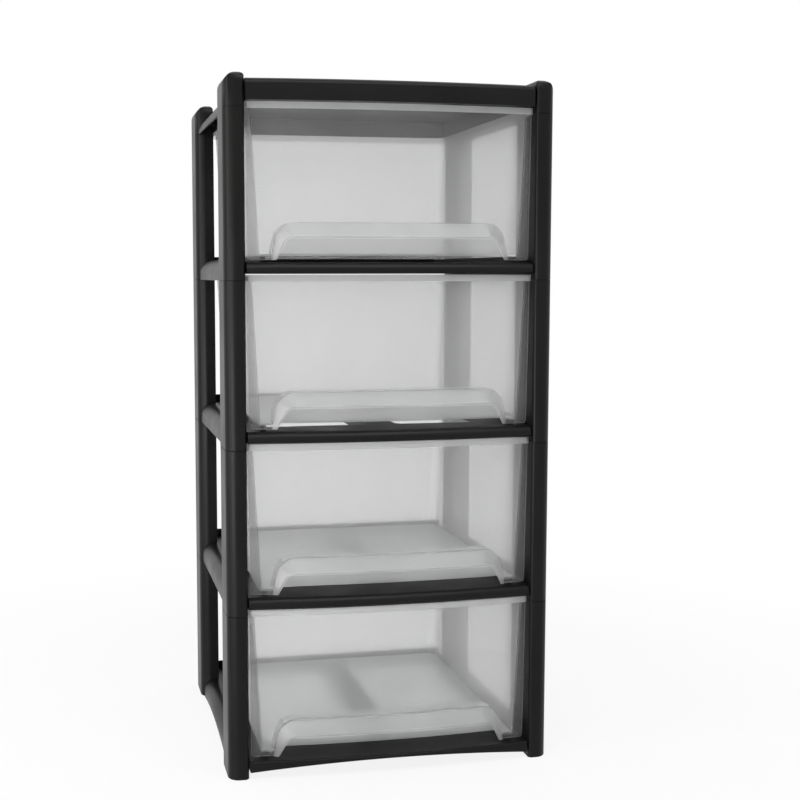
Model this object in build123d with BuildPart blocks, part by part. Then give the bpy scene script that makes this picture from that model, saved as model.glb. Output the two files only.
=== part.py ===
"""Drawer tower: clear drawers that slide in a black frame of stacked plastic tiers."""
import math
import os

from build123d import *

os.makedirs("parts", exist_ok=True)

# Overall sizes, all lengths in millimetres
width = 376.0
post_span = 367.0
tier_count = 4
tier_pitch = 186.5

# Walls, fits and cuts shared by the black pieces
frame_wall = 2.2
fit_gap = 0.3
cut_overrun = 5.0

# Posts with a spigot on top that goes into the post above
post_width = 23.0
post_depth = 65.0
post_outer_radius = 13.0
post_inner_chamfer = 3.0
seam_chamfer = 0.8
spigot_height = 14.0
socket_chamfer = 8.0

# Bow of the front seen from above, shared by rails and drawers
front_bow = 10.0
nose_set_back = 1.0

# Side rails between the posts
rail_inset = 4.0
rail_round_share = 0.84
rail_height = 25.0
top_rail_height = 18.0
side_arch_rise = 9.5

# Rounded caps on the top posts
cap_height = 37.5
cap_roof = 13.5
cap_end_radius = 11.0
cap_outer_share = 0.7
cap_inner_share = 0.25

# Shelves, heights from the seam of their tier
shelf_bottom = 7.5
shelf_top = 20.5
shelf_gap = 1.5
nose_radius_share = 0.7
nose_chamfer_share = 0.2
nose_bevel_shares = (0.732, 0.423)
nose_ease_share = 0.309
base_arch_rise = 9.0
front_rail_depth = 60.0
back_rail_depth = 30.0
centre_bar_width = 33.0
window_corner = 6.0
back_stop_height = 9.5
back_stop_end_gap = 4.0

# Runner ridges that carry a drawer
ridge_width = 6.0
ridge_inset = 2.0
ridge_margin = 1.5

# Tenons that hold shelves and lid in the side rails
tenon_length = 30.0
tenon_spacing = 170.0
tenon_reach = 6.0
tenon_lift = 1.5
tenon_top_gap = 2.5
lid_tenon_lift = 0.5
lid_tenon_height = 5.0

# Lid, its lower edge level with that of a shelf
lid_height = 23.5
lid_front_radius = 8.0

# Drawers
drawer_wall = 1.6
front_wall = 2.0
floor_thickness = 1.8
drawer_bottom = 27.2
foot_drop = 4.5
foot_width = 24.0
rim_clearance = 1.3
rim_height = 7.0
rim_reach = 5.5
rim_side_gap = 1.0
rim_corner = 12.0
box_side_draft = 9.0
box_back_gap = 14.0
box_back_draft = 8.0
box_corner_radius = 16.0
panel_set_back = 12.0
panel_side_gap = 1.6
panel_side_draft = 2.5
panel_corner = 2.5
lip_reach = 5.0
lip_corner = 3.0

# Hooded pull on each drawer front, with room for fingers behind it
pull_height = 36.8
pull_radius = 22.5
pull_lean_share = 0.2
pull_wall = 1.8
pull_embed = 1.0
pull_top_reach = 11.0
pull_foot_reach = 4.0
pull_top_drop = 15.0
pull_foot_drop = 4.0
pull_corner_steps = 4
pull_top_steps = 4
recess_depth = 18.0

# Places and sizes worked out from the values above
overhang = front_bow - nose_set_back
front_y = overhang / 2 - post_span / 2
back_y = front_y + post_span
middle_y = (front_y + back_y) / 2
inner_x = width / 2 - post_width
post_x = width / 2 - post_width / 2
front_post_y = front_y + post_depth / 2
back_post_y = back_y - post_depth / 2
bow_radius = (inner_x ** 2 + front_bow ** 2) / (2 * front_bow)
rail_width = post_width - rail_inset
rail_radius = rail_width * rail_round_share
rail_length = post_span - 2 * post_depth
cap_outer_radius = post_width * cap_outer_share
cap_inner_radius = post_width * cap_inner_share
rim_top = tier_pitch + shelf_bottom - rim_clearance
box_top_half = inner_x - rim_side_gap - rim_reach
box_bottom_half = box_top_half - box_side_draft
box_back = back_y - box_back_gap
panel_top_half = inner_x - panel_side_gap
panel_bottom_half = panel_top_half - panel_side_draft
foot_bottom = drawer_bottom - foot_drop
pull_half = panel_bottom_half - foot_width
pull_top = drawer_bottom + pull_height
pull_root = pull_wall * math.hypot(1, pull_top_drop / pull_top_reach)
ridge_x = box_bottom_half - ridge_inset - ridge_width / 2
ridge_front = front_y + panel_set_back + front_wall + fit_gap
ridge_height = drawer_bottom - shelf_top - fit_gap
shelf_half = inner_x - shelf_gap
shelf_back = back_y - shelf_gap
window_front = front_y - overhang + front_rail_depth
window_back = shelf_back - back_rail_depth
window_width = ridge_x - ridge_width / 2 - ridge_margin - centre_bar_width / 2
window_x = centre_bar_width / 2 + window_width / 2
tenon_bottom = shelf_bottom + tenon_lift
tenon_height = shelf_top - tenon_top_gap - tenon_bottom
lid_tenon_bottom = shelf_bottom + lid_tenon_lift


def bow_y(x, set_back):
    """Place at x of a bowed front line that lies this far behind the post faces at its ends."""
    crown = front_y + set_back - front_bow
    return crown + bow_radius - math.sqrt(bow_radius ** 2 - x ** 2)


def bowed_plan(half_width, set_back, back, back_radius):
    """Plan of a piece with a bowed front, straight sides and square or rounded back corners."""
    end_y = bow_y(half_width, set_back)
    with BuildSketch() as plan:
        with BuildLine():
            front = ThreePointArc((-half_width, end_y), (0, bow_y(0, set_back)), (half_width, end_y))
            Polyline(front @ 1, (half_width, back), (-half_width, back), front @ 0)
        make_face()
        if back_radius > 0:
            fillet(plan.vertices().group_by(Axis.Y)[-1], back_radius)
    return plan.sketch


def post_plan(post_y):
    """Plan of one left post: rounded outside, with one bevelled corner beside the drawers."""
    with BuildSketch() as plan:
        with Locations((-post_x, post_y)):
            Rectangle(post_width, post_depth)
        fillet(plan.vertices().group_by(Axis.X)[0], post_outer_radius)
        inner_corners = plan.vertices().group_by(Axis.X)[-1].sort_by(Axis.Y)
        end_corner = inner_corners[0] if post_y < middle_y else inner_corners[-1]
        chamfer(end_corner, post_inner_chamfer)
    return plan.sketch


def socket_plan(post_y, inset):
    """Plan of the hollow in one left post, or of the spigot that goes into it."""
    with BuildSketch() as plan:
        with Locations((-post_x, post_y)):
            Rectangle(post_width - 2 * inset, post_depth - 2 * inset)
        chamfer(plan.vertices().group_by(Axis.X)[0], socket_chamfer)
    return plan.sketch


def rail_section(height):
    """Section across the left side rail: upright outside, rounded on top."""
    outside = -inner_x - rail_width
    centre_z = height - rail_radius
    half_step = rail_radius * math.sqrt(1 / 2)
    with BuildSketch() as section:
        with BuildLine():
            curve = ThreePointArc(
                (outside, centre_z),
                (outside + rail_radius - half_step, centre_z + half_step),
                (outside + rail_radius, height),
            )
            Polyline(curve @ 1, (-inner_x, height), (-inner_x, 0), (outside, 0), curve @ 0)
        make_face()
    return section.sketch


def rail_hollow(height):
    """Section of the hollow in the left side rail, open below, with flats in place of the round."""
    outside = -inner_x - rail_width + frame_wall
    inside = -inner_x - frame_wall
    centre_z = height - rail_radius
    hollow_radius = rail_radius - frame_wall
    half_step = hollow_radius * math.sqrt(1 / 2)
    with BuildSketch() as section:
        with BuildLine():
            Polyline(
                (outside, centre_z),
                (outside + hollow_radius - half_step, centre_z + half_step),
                (outside + hollow_radius, height - frame_wall),
                (inside, height - frame_wall),
                (inside, -cut_overrun),
                (outside, -cut_overrun),
                close=True,
            )
        make_face()
    return section.sketch


def slot_plan():
    """Plan of the slots in the left side rail where tenons go in."""
    with BuildSketch() as slots:
        with Locations((-inner_x, middle_y)):
            with GridLocations(0, tenon_spacing, 1, 2):
                Rectangle(2 * (tenon_reach + fit_gap), tenon_length + 2 * fit_gap)
    return slots.sketch


def foot_edges(piece):
    """Edges round the feet of the posts, before the rail joins them."""
    return piece.faces().filter_by(Axis.Z).group_by(Axis.Z)[0].edges()


def side_frame(arch_rise):
    """Left side of one tier: two hollow posts with spigots and the rail between them."""
    with BuildPart() as frame:
        for post_y in (front_post_y, back_post_y):
            with BuildSketch():
                add(post_plan(post_y))
            extrude(amount=tier_pitch)
            with BuildSketch(Plane.XY.offset(tier_pitch)):
                add(socket_plan(post_y, frame_wall + fit_gap))
            extrude(amount=spigot_height)
        chamfer(foot_edges(frame), seam_chamfer)
        with BuildSketch(Plane.XZ.offset(-front_y - post_depth + frame_wall / 2)):
            add(rail_section(rail_height))
        extrude(amount=-rail_length - frame_wall)
        for post_y in (front_post_y, back_post_y):
            with BuildSketch():
                add(socket_plan(post_y, frame_wall))
            extrude(amount=tier_pitch - frame_wall, mode=Mode.SUBTRACT)
            with BuildSketch(Plane.XY.offset(tier_pitch - frame_wall)):
                add(socket_plan(post_y, 2 * frame_wall + fit_gap))
            extrude(amount=spigot_height, mode=Mode.SUBTRACT)
        with BuildSketch(Plane.XZ.offset(-front_y - post_depth)):
            add(rail_hollow(rail_height))
        extrude(amount=-rail_length, mode=Mode.SUBTRACT)
        with BuildSketch(Plane.XY.offset(tenon_bottom)):
            add(slot_plan())
        extrude(amount=tenon_height + fit_gap, mode=Mode.SUBTRACT)
        if arch_rise > 0:
            with BuildSketch(Plane.YZ.offset(-width / 2)):
                with BuildLine():
                    arch = ThreePointArc(
                        (middle_y - rail_length / 2, 0),
                        (middle_y, arch_rise),
                        (middle_y + rail_length / 2, 0),
                    )
                    Line(arch @ 1, arch @ 0)
                make_face()
            extrude(amount=post_width + cut_overrun, mode=Mode.SUBTRACT)
    return frame.part


def shelf_plan(inset, nose_inset, corner):
    """Plan of a shelf: bowed front and two windows, made smaller all round by the insets."""
    with BuildSketch() as windows:
        with Locations((0, (window_front + window_back) / 2)):
            with GridLocations(2 * window_x, 0, 2, 1):
                Rectangle(window_width + 2 * inset, window_back - window_front + 2 * inset)
        if corner > 0:
            chamfer(windows.vertices(), corner)
    with BuildSketch() as plan:
        add(bowed_plan(shelf_half - inset, nose_set_back + nose_inset, shelf_back - inset, 0))
        add(windows.sketch, mode=Mode.SUBTRACT)
    return plan.sketch


def tenon_plan():
    """Plan of the four tenons that stand out of a shelf or the lid."""
    tip = inner_x + tenon_reach
    root = shelf_half - frame_wall
    with BuildSketch() as tenons:
        with Locations((0, middle_y)):
            with GridLocations(tip + root, tenon_spacing, 2, 2):
                Rectangle(tip - root, tenon_length)
    return tenons.sketch


def nose_edges(piece):
    """Long edges along the bowed front of a piece, lowest first."""
    front = piece.edges().filter_by(lambda edge: edge.center().Y < front_y)
    return front.filter_by(lambda edge: edge.length > shelf_half).sort_by(Axis.Z)


def round_nose(piece, radius):
    """Rounds the upper front edge of the piece being built with two flat bevels."""
    top_face = piece.faces().filter_by(Axis.Z).sort_by(Axis.Z)[-1]
    back_share, down_share = nose_bevel_shares
    chamfer(nose_edges(piece)[-1], radius * back_share, radius * down_share, reference=top_face)
    chamfer(nose_edges(piece)[-2], radius * nose_ease_share)


def shelf_frame(arch_rise):
    """Open shelf: bowed front rail, side members, centre bar, back rail, ridges and tenons."""
    thickness = shelf_top - shelf_bottom
    nose_radius = (thickness - arch_rise) * nose_radius_share
    nose_chamfer = thickness * nose_chamfer_share
    ridge_length = window_back - ridge_front
    with BuildPart() as shelf:
        with BuildSketch(Plane.XY.offset(shelf_bottom)):
            add(shelf_plan(0, 0, window_corner))
        extrude(amount=thickness)
        if arch_rise > 0:
            with BuildSketch(Plane.XZ.offset(-window_front)):
                with BuildLine():
                    arch = ThreePointArc(
                        (-shelf_half, shelf_bottom),
                        (0, shelf_bottom + arch_rise),
                        (shelf_half, shelf_bottom),
                    )
                    Line(arch @ 1, arch @ 0)
                make_face()
            extrude(amount=front_rail_depth + cut_overrun, mode=Mode.SUBTRACT)
        round_nose(shelf, nose_radius)
        if arch_rise == 0:
            chamfer(nose_edges(shelf)[0], nose_chamfer)
        with BuildSketch(Plane.XY.offset(shelf_bottom - cut_overrun)):
            add(shelf_plan(frame_wall, nose_radius + frame_wall, 0))
        extrude(amount=thickness - frame_wall + cut_overrun, mode=Mode.SUBTRACT)
        with BuildSketch(Plane.XY.offset(shelf_top)):
            with Locations((0, ridge_front + ridge_length / 2)):
                with GridLocations(2 * ridge_x, 0, 2, 1):
                    Rectangle(ridge_width, ridge_length)
        extrude(amount=ridge_height)
        with BuildSketch(Plane.XY.offset(shelf_top)):
            with Locations((0, shelf_back - frame_wall / 2)):
                Rectangle(2 * (shelf_half - back_stop_end_gap), frame_wall)
        extrude(amount=back_stop_height)
        with BuildSketch(Plane.XY.offset(tenon_bottom)):
            add(tenon_plan())
        extrude(amount=tenon_height)
    return shelf.part


def save(shape, name):
    """Write one piece under its own name."""
    shape.label = name
    export_step(shape, f"parts/{name}.step")


# Side frames, one pair for each tier
plain_side = side_frame(0)
base_side = side_frame(side_arch_rise)
for tier in range(1, tier_count + 1):
    side = base_side if tier == tier_count else plain_side
    lift = Location((0, 0, (tier_count - tier) * tier_pitch))
    save(side.moved(lift), f"side_frame_left_{tier}")
    save(mirror(side, about=Plane.YZ).moved(lift), f"side_frame_right_{tier}")

# Shelves, the lowest with an arched front rail
plain_shelf = shelf_frame(0)
base_shelf = shelf_frame(base_arch_rise)
for tier in range(1, tier_count + 1):
    shelf = base_shelf if tier == tier_count else plain_shelf
    lift = Location((0, 0, (tier_count - tier) * tier_pitch))
    save(shelf.moved(lift), f"shelf_{tier}")

# Top rails: two rounded caps with the side rail between them
with BuildPart() as top_rail:
    with BuildSketch():
        for post_y in (front_post_y, back_post_y):
            add(post_plan(post_y))
    extrude(amount=cap_height)
    with BuildSketch(Plane.XZ) as cap_front:
        with Locations((-post_x, cap_height / 2)):
            Rectangle(post_width, cap_height)
        fillet(cap_front.vertices().sort_by(Axis.X)[:2].sort_by(Axis.Y)[-1], cap_outer_radius)
        fillet(cap_front.vertices().sort_by(Axis.X)[-2:].sort_by(Axis.Y)[-1], cap_inner_radius)
    extrude(amount=post_span, both=True, mode=Mode.INTERSECT)
    with BuildSketch(Plane.YZ) as cap_side:
        with Locations((front_post_y, cap_height / 2), (back_post_y, cap_height / 2)):
            Rectangle(post_depth, cap_height)
        fillet(cap_side.vertices().group_by(Axis.Y)[-1], cap_end_radius)
    extrude(amount=width, both=True, mode=Mode.INTERSECT)
    chamfer(foot_edges(top_rail), seam_chamfer)
    with BuildSketch(Plane.XZ.offset(-front_y - post_depth + frame_wall / 2)):
        add(rail_section(top_rail_height))
    extrude(amount=-rail_length - frame_wall)
    with BuildSketch():
        for post_y in (front_post_y, back_post_y):
            add(socket_plan(post_y, frame_wall))
    extrude(amount=cap_height - cap_roof, mode=Mode.SUBTRACT)
    with BuildSketch(Plane.XZ.offset(-front_y - post_depth)):
        add(rail_hollow(top_rail_height))
    extrude(amount=-rail_length, mode=Mode.SUBTRACT)
    with BuildSketch(Plane.XY.offset(lid_tenon_bottom)):
        add(slot_plan())
    extrude(amount=lid_tenon_height + fit_gap, mode=Mode.SUBTRACT)

lid_lift = Location((0, 0, tier_count * tier_pitch))
save(top_rail.part.moved(lid_lift), "top_rail_left")
save(mirror(top_rail.part, about=Plane.YZ).moved(lid_lift), "top_rail_right")

# Lid: closed panel with a bowed front rail, open below
with BuildPart() as top_panel:
    with BuildSketch(Plane.XY.offset(shelf_bottom)):
        add(bowed_plan(shelf_half, nose_set_back, shelf_back, 0))
    extrude(amount=lid_height)
    round_nose(top_panel, lid_front_radius)
    with BuildSketch(Plane.XY.offset(shelf_bottom - cut_overrun)):
        add(
            bowed_plan(
                shelf_half - frame_wall,
                nose_set_back + lid_front_radius,
                shelf_back - frame_wall,
                0,
            )
        )
    extrude(amount=lid_height - frame_wall + cut_overrun, mode=Mode.SUBTRACT)
    with BuildSketch(Plane.XY.offset(lid_tenon_bottom)):
        add(tenon_plan())
    extrude(amount=lid_tenon_height)

save(top_panel.part.moved(lid_lift), "top_panel")


def box_plan(z, inset, front_set_back):
    """Plan of the tapered drawer box at height z, made smaller by the inset."""
    rise_share = (z - drawer_bottom) / (rim_top - drawer_bottom)
    half_width = box_bottom_half + box_side_draft * rise_share - inset
    back = box_back - box_back_draft * (1 - rise_share) - inset
    return bowed_plan(half_width, front_set_back, back, box_corner_radius - inset)


def rim_plan(inset):
    """Plan of the rim with its front lip, made smaller by the inset."""
    half_width = box_top_half + rim_reach - inset
    back = box_back + rim_reach - inset
    with BuildSketch() as plan:
        add(bowed_plan(half_width, panel_set_back - lip_reach + inset, back, 0))
        chamfer(plan.vertices().group_by(Axis.Y)[-1], rim_corner)
        front_ends = plan.vertices().filter_by(lambda corner: abs(corner.X) > box_top_half)
        chamfer(front_ends.group_by(Axis.Y)[0], lip_corner - inset)
    return plan.sketch


def panel_plan():
    """Plan of the bowed front panel, an even strip."""
    strip_back = front_y + panel_set_back + front_bow
    room_back = strip_back + cut_overrun
    with BuildSketch() as plan:
        add(bowed_plan(panel_top_half, panel_set_back, strip_back, 0))
        add(bowed_plan(panel_top_half, panel_set_back + drawer_wall, room_back, 0), mode=Mode.SUBTRACT)
    return plan.sketch


def panel_outline():
    """Front view of the panel: narrower below, with bevelled lower corners."""
    with BuildSketch() as outline:
        with BuildLine():
            Polyline(
                (-panel_bottom_half, foot_bottom),
                (panel_bottom_half, foot_bottom),
                (panel_top_half, rim_top),
                (-panel_top_half, rim_top),
                close=True,
            )
        make_face()
        chamfer(outline.vertices().group_by(Axis.Y)[0], panel_corner)
    return outline.sketch


def pull_stations():
    """Places along the arch of the pull, each with the direction towards the inside of the arch."""
    lean = math.atan(pull_lean_share)
    corner_z = pull_top - pull_radius
    leg_height = corner_z + pull_radius * math.sin(lean) - foot_bottom
    corner_x = pull_half - leg_height * pull_lean_share - pull_radius * math.cos(lean)
    left = [(-pull_half, foot_bottom, 1, 0)]
    for step in range(pull_corner_steps + 1):
        angle = lean + (math.pi / 2 - lean) * step / pull_corner_steps
        across = math.cos(angle)
        up = math.sin(angle)
        left.append((-corner_x - pull_radius * across, corner_z + pull_radius * up, across, -up))
    top = []
    for step in range(1, pull_top_steps):
        top.append((corner_x * (2 * step / pull_top_steps - 1), pull_top, 0, -1))
    right = [(-x, z, -inward_x, inward_z) for x, z, inward_x, inward_z in reversed(left)]
    return left + top + right


def finger_room(inset, front_set_back, back_set_back):
    """Arched room under the pull, open below, between two bowed surfaces."""
    points = []
    for x, z, inward_x, inward_z in pull_stations():
        points.append((x + inward_x * inset, z + inward_z * inset))
    room_bottom = foot_bottom - cut_overrun
    room_back = back_y + cut_overrun
    with BuildPart() as room:
        with BuildSketch(Plane.XY.offset(room_bottom)):
            add(bowed_plan(pull_half, front_set_back, back_y, 0))
            add(bowed_plan(width, back_set_back, room_back, 0), mode=Mode.SUBTRACT)
        extrude(amount=tier_pitch)
        with BuildSketch(Plane.XZ):
            with BuildLine():
                Polyline(
                    (points[0][0], room_bottom),
                    *points,
                    (points[-1][0], room_bottom),
                    close=True,
                )
            make_face()
        extrude(amount=post_span, both=True, mode=Mode.INTERSECT)
    return room.part


# Room inside a drawer: tapered as the box is, with a bowed front, less the walls round the finger room
recess_back = panel_set_back + recess_depth
with BuildPart() as inside:
    for z in (drawer_bottom + floor_thickness, rim_top + cut_overrun):
        with BuildSketch(Plane.XY.offset(z)):
            add(box_plan(z, drawer_wall, 0))
    loft(ruled=True)
    with BuildSketch(Plane.XY.offset(drawer_bottom)):
        add(bowed_plan(width, panel_set_back + front_wall, back_y, 0))
    extrude(amount=tier_pitch, mode=Mode.INTERSECT)
    add(finger_room(0, panel_set_back, recess_back + drawer_wall), mode=Mode.SUBTRACT)

# Drawer: front panel, rim, box, hooded pull, less the room inside and the room for fingers
with BuildPart() as drawer:
    with BuildSketch(Plane.XY.offset(foot_bottom)):
        add(panel_plan())
    extrude(amount=rim_top - foot_bottom)
    with BuildSketch(Plane.XZ):
        add(panel_outline())
    extrude(amount=post_span, both=True, mode=Mode.INTERSECT)
    with BuildSketch(Plane.XY.offset(rim_top - drawer_wall)):
        add(rim_plan(0))
    extrude(amount=drawer_wall)
    with BuildSketch(Plane.XY.offset(rim_top - rim_height)):
        add(rim_plan(0))
        add(rim_plan(drawer_wall), mode=Mode.SUBTRACT)
    extrude(amount=rim_height)
    with BuildSketch(Plane.XY.offset(drawer_bottom)):
        add(box_plan(drawer_bottom, 0, panel_set_back + drawer_wall / 2))
    with BuildSketch(Plane.XY.offset(rim_top)):
        add(box_plan(rim_top, 0, panel_set_back + drawer_wall / 2))
    loft(ruled=True)
    for x, z, inward_x, inward_z in pull_stations():
        height_share = (z - foot_bottom) / (pull_top - foot_bottom)
        reach = pull_foot_reach + (pull_top_reach - pull_foot_reach) * height_share
        drop = pull_foot_drop + (pull_top_drop - pull_foot_drop) * height_share
        root_drop = -pull_embed * drop / reach
        edge_height = pull_wall * math.hypot(1, drop / reach)
        station = Plane(
            origin=(x, bow_y(x, panel_set_back), z),
            x_dir=(0, -1, 0),
            z_dir=(-inward_z, 0, inward_x),
        )
        with BuildSketch(station):
            with BuildLine():
                Polyline(
                    (-pull_embed, root_drop),
                    (reach, drop),
                    (reach, drop + edge_height),
                    (-pull_embed, root_drop + edge_height),
                    close=True,
                )
            make_face()
    loft(ruled=True)
    add(inside.part, mode=Mode.SUBTRACT)
    add(finger_room(pull_root, panel_set_back, recess_back), mode=Mode.SUBTRACT)

for tier in range(1, tier_count + 1):
    lift = Location((0, 0, (tier_count - tier) * tier_pitch))
    save(drawer.part.moved(lift), f"drawer_{tier}")
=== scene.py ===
"""Looks of the drawer tower: satin black plastic frame, hazy clear drawers, white studio."""

import math

import bpy
from mathutils import Matrix, Vector

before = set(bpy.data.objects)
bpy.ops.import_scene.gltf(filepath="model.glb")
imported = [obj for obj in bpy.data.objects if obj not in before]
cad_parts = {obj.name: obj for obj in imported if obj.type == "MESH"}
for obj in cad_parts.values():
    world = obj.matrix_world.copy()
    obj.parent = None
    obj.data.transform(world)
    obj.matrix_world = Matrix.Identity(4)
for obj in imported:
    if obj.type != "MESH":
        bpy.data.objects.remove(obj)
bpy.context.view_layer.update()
scene = bpy.context.scene

# Camera, lengths in metres, angles in degrees, image lengths in pixels of an 800 pixel frame
IMAGE_SIZE = 800
SENSOR_WIDTH = 36
EYE = Vector((-0.3567, -1.6027, 0.5684))
YAW = 11.59
PITCH = 5.53
ROLL = -0.08
FOCAL_LENGTH = 1316
IMAGE_CENTRE_X = 336.4

# Studio, lengths in metres, light as shares of white
FLOOR_REACH = 6
FLOOR_COLOUR = (0.9, 0.9, 0.9, 1)
FLOOR_GLOW = 0.86
SHADOW_START = 0.35
SHADOW_END = 1.1
FRONT_LIGHT = 0.05
BACK_LIGHT = 0.95
LEFT_LIGHT = 0.08
RIGHT_LIGHT = 0.03
WHITE = (1, 1, 1, 1)
OBJECT_MIDDLE = (0, 0, 0.4)

# Smoothing over small bevels, lengths in metres and angles in degrees
WELD_DISTANCE = 0.00001
BLACK_SHARP_ANGLE = 50
CLEAR_SHARP_ANGLE = 30
NORMAL_WEIGHT = 50

# Middle of the range of a noise value, where most of the surface lies
NOISE_RANGE = (0.3, 0.7)

# Black plastic, noise in cells per metre and bump depths in metres
BLACK_IOR = 1.49
BLACK_SPECULAR = 0.15
BLACK_DARK = (0.0038, 0.0038, 0.0037, 1)
BLACK_LIGHT = (0.006, 0.006, 0.0058, 1)
BLACK_ROUGHNESS = (0.33, 0.41)
CLOUD_SCALE = 14
GRAIN_SCALE = 1500
GRAIN_DEPTH = 0.00008
WAVE_SCALE = 22
WAVE_DEPTH = 0.001
BUMP_STRENGTH = 0.2

# Clear plastic, darker and lighter colour of each kind of area
CLEAR_IOR = 1.45
CLEAR_TRANSMISSION = 0.78
COAT_WEIGHT = 0.5
COAT_ROUGHNESS = 0.06
CLEAR_ROUGHNESS = (0.8, 0.9)
HAZE_SCALE = 9
HAZE_STRETCH = (1, 1, 0.35)
PLAIN_DARK = (0.68, 0.686, 0.684, 1)
PLAIN_LIGHT = (0.73, 0.734, 0.732, 1)
# Milky colour: haze of the thicker hoods and lips, and painted light from above on level faces such as
# floors
MILKY_AND_LIT_DARK = (0.9, 0.905, 0.905, 1)
MILKY_AND_LIT_LIGHT = (0.95, 0.955, 0.955, 1)
# Edge colour: painted shade, darker grey lines along the drawers' sharp edges
EDGE_SHADE_DARK = (0.58, 0.59, 0.59, 1)
EDGE_SHADE_LIGHT = (0.64, 0.65, 0.65, 1)
PROUD_MILKINESS = 0.6

# Opacity of the drawer walls, and what each kind of area adds to it
WALL_OPACITY = (0.5, 0.54)
FRONT_OPACITY = -0.32
PROUD_OPACITY = 0.24
LIP_OPACITY = 0.22
LEVEL_OPACITY = 0.3
EDGE_OPACITY = 0.35

# Areas of the drawers, from the sizes of the solids with small margins, lengths in metres
TIER_PITCH = 0.1865
PANEL_CROWN_Y = -0.177
BOW_RADIUS = 1.36625
PROUD_MARGIN = 0.0006
FRONT_DEPTH = 0.003
RIM_BOTTOM = -0.001
RIM_HEIGHT = 0.0075
LEVEL_LIMIT = 0.7

# Sharp edges of the drawers, found where a rounded normal departs from the true one; they get painted
# shade as a darker grey
EDGE_WIDTH = 0.001
EDGE_SAMPLES = 6
EDGE_RANGE = (0.985, 0.85)


def new_material(name):
    """Empty node material, its node tree and its output."""
    material = bpy.data.materials.new(name)
    material.use_nodes = True
    tree = material.node_tree
    tree.nodes.clear()
    output = tree.nodes.new("ShaderNodeOutputMaterial")
    return material, tree, output


def calculate(tree, operation, *values):
    """Arithmetic on one or two values, each a number or an output of another node."""
    node = tree.nodes.new("ShaderNodeMath")
    node.operation = operation
    for socket, value in zip(node.inputs, values):
        if isinstance(value, (int, float)):
            socket.default_value = value
        else:
            tree.links.new(value, socket)
    return node.outputs["Value"]


def map_range(tree, value, source, target, smooth=False):
    """Value carried from the source range to the target range, held at both ends."""
    ranged = tree.nodes.new("ShaderNodeMapRange")
    if smooth:
        ranged.interpolation_type = "SMOOTHSTEP"
    ranged.inputs["From Min"].default_value = source[0]
    ranged.inputs["From Max"].default_value = source[1]
    ranged.inputs["To Min"].default_value = target[0]
    ranged.inputs["To Max"].default_value = target[1]
    tree.links.new(value, ranged.inputs["Value"])
    return ranged.outputs["Result"]


def add_noise(tree, scale, detail, stretch=(1, 1, 1)):
    """Noise in the piece's own coordinates, with this many cells per metre."""
    coordinates = tree.nodes.new("ShaderNodeTexCoord")
    mapping = tree.nodes.new("ShaderNodeMapping")
    mapping.inputs["Scale"].default_value = stretch
    noise = tree.nodes.new("ShaderNodeTexNoise")
    noise.inputs["Scale"].default_value = scale
    noise.inputs["Detail"].default_value = detail
    tree.links.new(coordinates.outputs["Object"], mapping.inputs["Vector"])
    tree.links.new(mapping.outputs["Vector"], noise.inputs["Vector"])
    return noise.outputs["Fac"]


def tint(tree, value, dark, light):
    """Colour between dark and light, driven by a noise value."""
    ramp = tree.nodes.new("ShaderNodeValToRGB")
    for element, position, colour in zip(ramp.color_ramp.elements, NOISE_RANGE, (dark, light)):
        element.position = position
        element.color = colour
    tree.links.new(value, ramp.inputs["Fac"])
    return ramp.outputs["Color"]


def mix_colours(tree, share, first, second):
    """First colour where the share is 0, second where it is 1."""
    mix = tree.nodes.new("ShaderNodeMix")
    mix.data_type = "RGBA"
    colours = [socket for socket in mix.inputs if socket.type == "RGBA"]
    tree.links.new(share, mix.inputs["Factor"])
    tree.links.new(first, colours[0])
    tree.links.new(second, colours[1])
    return next(socket for socket in mix.outputs if socket.type == "RGBA")


def add_bump(tree, value, depth, before=None):
    """Bump of this depth in metres from a noise value, on top of an earlier bump."""
    bump = tree.nodes.new("ShaderNodeBump")
    bump.inputs["Strength"].default_value = BUMP_STRENGTH
    bump.inputs["Distance"].default_value = depth
    tree.links.new(value, bump.inputs["Height"])
    if before is not None:
        tree.links.new(before, bump.inputs["Normal"])
    return bump.outputs["Normal"]


def black_plastic():
    """Moulded black plastic with a fine satin grain."""
    material, tree, output = new_material("black_plastic")
    shader = tree.nodes.new("ShaderNodeBsdfPrincipled")
    shader.inputs["IOR"].default_value = BLACK_IOR
    shader.inputs["Specular IOR Level"].default_value = BLACK_SPECULAR
    cloud = add_noise(tree, CLOUD_SCALE, detail=4)
    grain = add_noise(tree, GRAIN_SCALE, detail=2)
    wave = add_noise(tree, WAVE_SCALE, detail=1)
    colour = tint(tree, cloud, BLACK_DARK, BLACK_LIGHT)
    roughness = map_range(tree, cloud, NOISE_RANGE, BLACK_ROUGHNESS)
    broad = add_bump(tree, wave, WAVE_DEPTH)
    fine = add_bump(tree, grain, GRAIN_DEPTH, broad)
    tree.links.new(colour, shader.inputs["Base Color"])
    tree.links.new(roughness, shader.inputs["Roughness"])
    tree.links.new(fine, shader.inputs["Normal"])
    tree.links.new(shader.outputs["BSDF"], output.inputs["Surface"])
    return material


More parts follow.
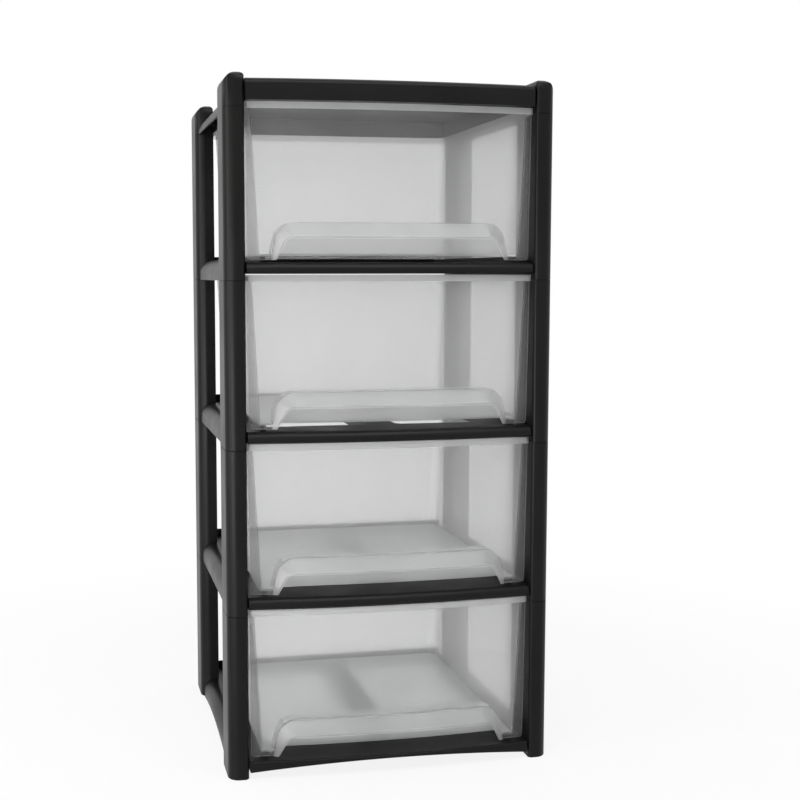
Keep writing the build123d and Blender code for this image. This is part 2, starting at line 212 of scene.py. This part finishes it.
def drawer_areas(tree):
    """Masks, 1 inside and 0 outside: front wall, proud of the front, at the rim, level as a floor."""
    coordinates = tree.nodes.new("ShaderNodeTexCoord")
    parts = tree.nodes.new("ShaderNodeSeparateXYZ")
    tree.links.new(coordinates.outputs["Object"], parts.inputs["Vector"])
    across = calculate(tree, "MULTIPLY", parts.outputs["X"], parts.outputs["X"])
    bow = calculate(tree, "DIVIDE", across, 2 * BOW_RADIUS)
    depth = calculate(tree, "SUBTRACT", parts.outputs["Y"], bow)
    front = calculate(tree, "LESS_THAN", depth, PANEL_CROWN_Y + FRONT_DEPTH)
    proud = calculate(tree, "LESS_THAN", depth, PANEL_CROWN_Y - PROUD_MARGIN)
    height = calculate(tree, "SUBTRACT", parts.outputs["Z"], RIM_BOTTOM)
    over_rim = calculate(tree, "FLOORED_MODULO", height, TIER_PITCH)
    rim = calculate(tree, "LESS_THAN", over_rim, RIM_HEIGHT)
    geometry = tree.nodes.new("ShaderNodeNewGeometry")
    facing = tree.nodes.new("ShaderNodeSeparateXYZ")
    tree.links.new(geometry.outputs["Normal"], facing.inputs["Vector"])
    # The level mask picks horizontal faces, which the clear plastic paints lighter as painted light from
    # above
    upward = calculate(tree, "MULTIPLY", facing.outputs["Z"], facing.outputs["Z"])
    level = calculate(tree, "GREATER_THAN", upward, LEVEL_LIMIT)
    return front, proud, rim, level


def edge_mask(tree):
    """1 on the sharp edges of a piece, fading to 0 beside them."""
    bevel = tree.nodes.new("ShaderNodeBevel")
    bevel.samples = EDGE_SAMPLES
    bevel.inputs["Radius"].default_value = EDGE_WIDTH
    geometry = tree.nodes.new("ShaderNodeNewGeometry")
    turn = tree.nodes.new("ShaderNodeVectorMath")
    turn.operation = "DOT_PRODUCT"
    tree.links.new(bevel.outputs["Normal"], turn.inputs[0])
    tree.links.new(geometry.outputs["Normal"], turn.inputs[1])
    likeness = calculate(tree, "ABSOLUTE", turn.outputs["Value"])
    return map_range(tree, likeness, EDGE_RANGE, (0, 1))


def clear_plastic():
    """Clear plastic with a slight haze, hazier on lips and pulls; level faces such as floors are painted
    lighter and more opaque as painted light from above, and sharp edges are painted darker grey as
    painted shade.
    """
    material, tree, output = new_material("clear_plastic")
    shader = tree.nodes.new("ShaderNodeBsdfPrincipled")
    shader.inputs["IOR"].default_value = CLEAR_IOR
    shader.inputs["Transmission Weight"].default_value = CLEAR_TRANSMISSION
    shader.inputs["Coat Weight"].default_value = COAT_WEIGHT
    shader.inputs["Coat Roughness"].default_value = COAT_ROUGHNESS
    haze = add_noise(tree, HAZE_SCALE, detail=3, stretch=HAZE_STRETCH)
    plain = tint(tree, haze, PLAIN_DARK, PLAIN_LIGHT)
    milky_and_lit = tint(tree, haze, MILKY_AND_LIT_DARK, MILKY_AND_LIT_LIGHT)
    edge_shade = tint(tree, haze, EDGE_SHADE_DARK, EDGE_SHADE_LIGHT)
    roughness = map_range(tree, haze, NOISE_RANGE, CLEAR_ROUGHNESS)
    front, proud, rim, level = drawer_areas(tree)
    lip = calculate(tree, "MULTIPLY", proud, rim)
    edge = edge_mask(tree)
    milkiness = calculate(tree, "MULTIPLY", proud, PROUD_MILKINESS)
    # Level faces take the milky colour as painted light from above; hoods and lips take part of it as
    # haze of thicker plastic
    haze_and_top_light = calculate(tree, "MAXIMUM", milkiness, level)
    # Sharp edges are painted darker grey over the other colours as painted shade
    colour = mix_colours(tree, edge, mix_colours(tree, haze_and_top_light, plain, milky_and_lit), edge_shade)
    opacity = map_range(tree, haze, NOISE_RANGE, WALL_OPACITY)
    additions = (
        (front, FRONT_OPACITY),
        (proud, PROUD_OPACITY),
        (lip, LIP_OPACITY),
        (level, LEVEL_OPACITY),
        (edge, EDGE_OPACITY),
    )
    for area, amount in additions:
        extra = calculate(tree, "MULTIPLY", area, amount)
        opacity = calculate(tree, "ADD", opacity, extra)
    tree.links.new(colour, shader.inputs["Base Color"])
    tree.links.new(roughness, shader.inputs["Roughness"])
    tree.links.new(opacity, shader.inputs["Alpha"])
    tree.links.new(shader.outputs["BSDF"], output.inputs["Surface"])
    return material


def seen_directly(tree):
    """1 for rays that show the studio itself: straight, through clear plastic or mirrored."""
    path = tree.nodes.new("ShaderNodeLightPath")
    seen = calculate(tree, "MAXIMUM", path.outputs["Is Camera Ray"], path.outputs["Is Transmission Ray"])
    return calculate(tree, "MAXIMUM", seen, path.outputs["Is Glossy Ray"])


def mix_shaders(tree, share, first, second, output):
    """Sends the first shader to the output where the share is 0, the second where it is 1."""
    mix = tree.nodes.new("ShaderNodeMixShader")
    tree.links.new(share, mix.inputs["Fac"])
    tree.links.new(first, mix.inputs[1])
    tree.links.new(second, mix.inputs[2])
    tree.links.new(mix.outputs["Shader"], output.inputs["Surface"])


def make_floor():
    """Pale floor that keeps the shadow near the object and turns white further out."""
    bpy.ops.mesh.primitive_plane_add(size=2 * FLOOR_REACH)
    floor = bpy.context.object
    floor.name = "studio_floor"
    material, tree, output = new_material("studio_floor")
    coordinates = tree.nodes.new("ShaderNodeTexCoord")
    distance = tree.nodes.new("ShaderNodeVectorMath")
    distance.operation = "LENGTH"
    tree.links.new(coordinates.outputs["Object"], distance.inputs[0])
    shadow_range = (SHADOW_START, SHADOW_END)
    fade = map_range(tree, distance.outputs["Value"], shadow_range, (FLOOR_GLOW, 1), smooth=True)
    diffuse = tree.nodes.new("ShaderNodeBsdfDiffuse")
    diffuse.inputs["Color"].default_value = FLOOR_COLOUR
    glow = tree.nodes.new("ShaderNodeEmission")
    glow.inputs["Strength"].default_value = 1
    share = calculate(tree, "MULTIPLY", seen_directly(tree), fade)
    mix_shaders(tree, share, diffuse.outputs["BSDF"], glow.outputs["Emission"], output)
    floor.data.materials.append(material)


def add_background(tree):
    """White light from the sky, of strength 1 unless something drives it."""
    background = tree.nodes.new("ShaderNodeBackground")
    background.inputs["Color"].default_value = WHITE
    background.inputs["Strength"].default_value = 1
    return background


def make_world():
    """White where it is seen, through plastic or mirrored too, elsewhere light mostly from behind."""
    world = bpy.data.worlds.new("studio")
    scene.world = world
    world.use_nodes = True
    tree = world.node_tree
    tree.nodes.clear()
    output = tree.nodes.new("ShaderNodeOutputWorld")
    direction = tree.nodes.new("ShaderNodeTexCoord")
    parts = tree.nodes.new("ShaderNodeSeparateXYZ")
    tree.links.new(direction.outputs["Generated"], parts.inputs["Vector"])
    lengthwise = map_range(tree, parts.outputs["Y"], (-1, 1), (FRONT_LIGHT, BACK_LIGHT), smooth=True)
    sideways = map_range(tree, parts.outputs["X"], (-1, 1), (LEFT_LIGHT, RIGHT_LIGHT), smooth=True)
    light = add_background(tree)
    tree.links.new(calculate(tree, "ADD", lengthwise, sideways), light.inputs["Strength"])
    white = add_background(tree)
    share = seen_directly(tree)
    mix_shaders(tree, share, light.outputs["Background"], white.outputs["Background"], output)


def add_area_light(name, place, target, size, power, colour):
    """Soft rectangular lamp at a place, turned to a target."""
    lamp = bpy.data.lights.new(name, "AREA")
    lamp.shape = "RECTANGLE"
    lamp.size = size[0]
    lamp.size_y = size[1]
    lamp.energy = power
    lamp.color = colour
    holder = bpy.data.objects.new(name, lamp)
    scene.collection.objects.link(holder)
    holder.location = place
    turn = (Vector(target) - Vector(place)).to_track_quat("-Z", "Y")
    holder.rotation_euler = turn.to_euler()


def add_lamps():
    """Large warm lamp on the left, large cool one above, small one low at the front left."""
    add_area_light(
        "left",
        place=(-2.1, -0.75, 0.8),
        target=OBJECT_MIDDLE,
        size=(0.9, 1.6),
        power=20,
        colour=(1, 0.98, 0.95),
    )
    add_area_light(
        "top",
        place=(0.1, -1.2, 2.5),
        target=OBJECT_MIDDLE,
        size=(2.0, 1.2),
        power=26,
        colour=(0.98, 0.99, 1),
    )
    add_area_light(
        "low",
        place=(-1.05, -1.15, 0.26),
        target=(0, -0.18, 0.15),
        size=(0.6, 0.5),
        power=10,
        colour=(1, 1, 1),
    )


def soften_bevels(piece, sharp_angle):
    """Shades the bevels of a piece as rounded up to this angle, without changing its shape."""
    weld = piece.modifiers.new("weld", "WELD")
    weld.merge_threshold = WELD_DISTANCE
    split = piece.modifiers.new("sharp_edges", "EDGE_SPLIT")
    split.use_edge_sharp = False
    split.split_angle = math.radians(sharp_angle)
    normals = piece.modifiers.new("smooth_bevels", "WEIGHTED_NORMAL")
    normals.mode = "FACE_AREA"
    normals.weight = NORMAL_WEIGHT


def make_camera():
    """Camera at the viewpoint found from the photograph."""
    yaw = math.radians(YAW)
    pitch = math.radians(PITCH)
    roll = math.radians(ROLL)
    forward = Vector((math.sin(yaw) * math.cos(pitch), math.cos(yaw) * math.cos(pitch), -math.sin(pitch)))
    level = Vector((math.cos(yaw), -math.sin(yaw), 0))
    upright = level.cross(forward)
    right = level * math.cos(roll) + upright * math.sin(roll)
    up = right.cross(forward)
    data = bpy.data.cameras.new("camera")
    data.sensor_width = SENSOR_WIDTH
    data.lens = SENSOR_WIDTH * FOCAL_LENGTH / IMAGE_SIZE
    data.shift_x = (IMAGE_SIZE / 2 - IMAGE_CENTRE_X) / IMAGE_SIZE
    camera = bpy.data.objects.new("camera", data)
    scene.collection.objects.link(camera)
    turn = Matrix((right, up, -forward)).transposed()
    camera.matrix_world = Matrix.Translation(EYE) @ turn.to_4x4()
    scene.camera = camera


# Materials on the pieces
black = black_plastic()
clear = clear_plastic()
for name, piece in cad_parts.items():
    is_drawer = name.startswith("drawer")
    piece.data.materials.clear()
    piece.data.materials.append(clear if is_drawer else black)
    soften_bevels(piece, CLEAR_SHARP_ANGLE if is_drawer else BLACK_SHARP_ANGLE)

# Studio and camera
make_floor()
make_world()
add_lamps()
make_camera()
scene.view_settings.view_transform = "Standard"
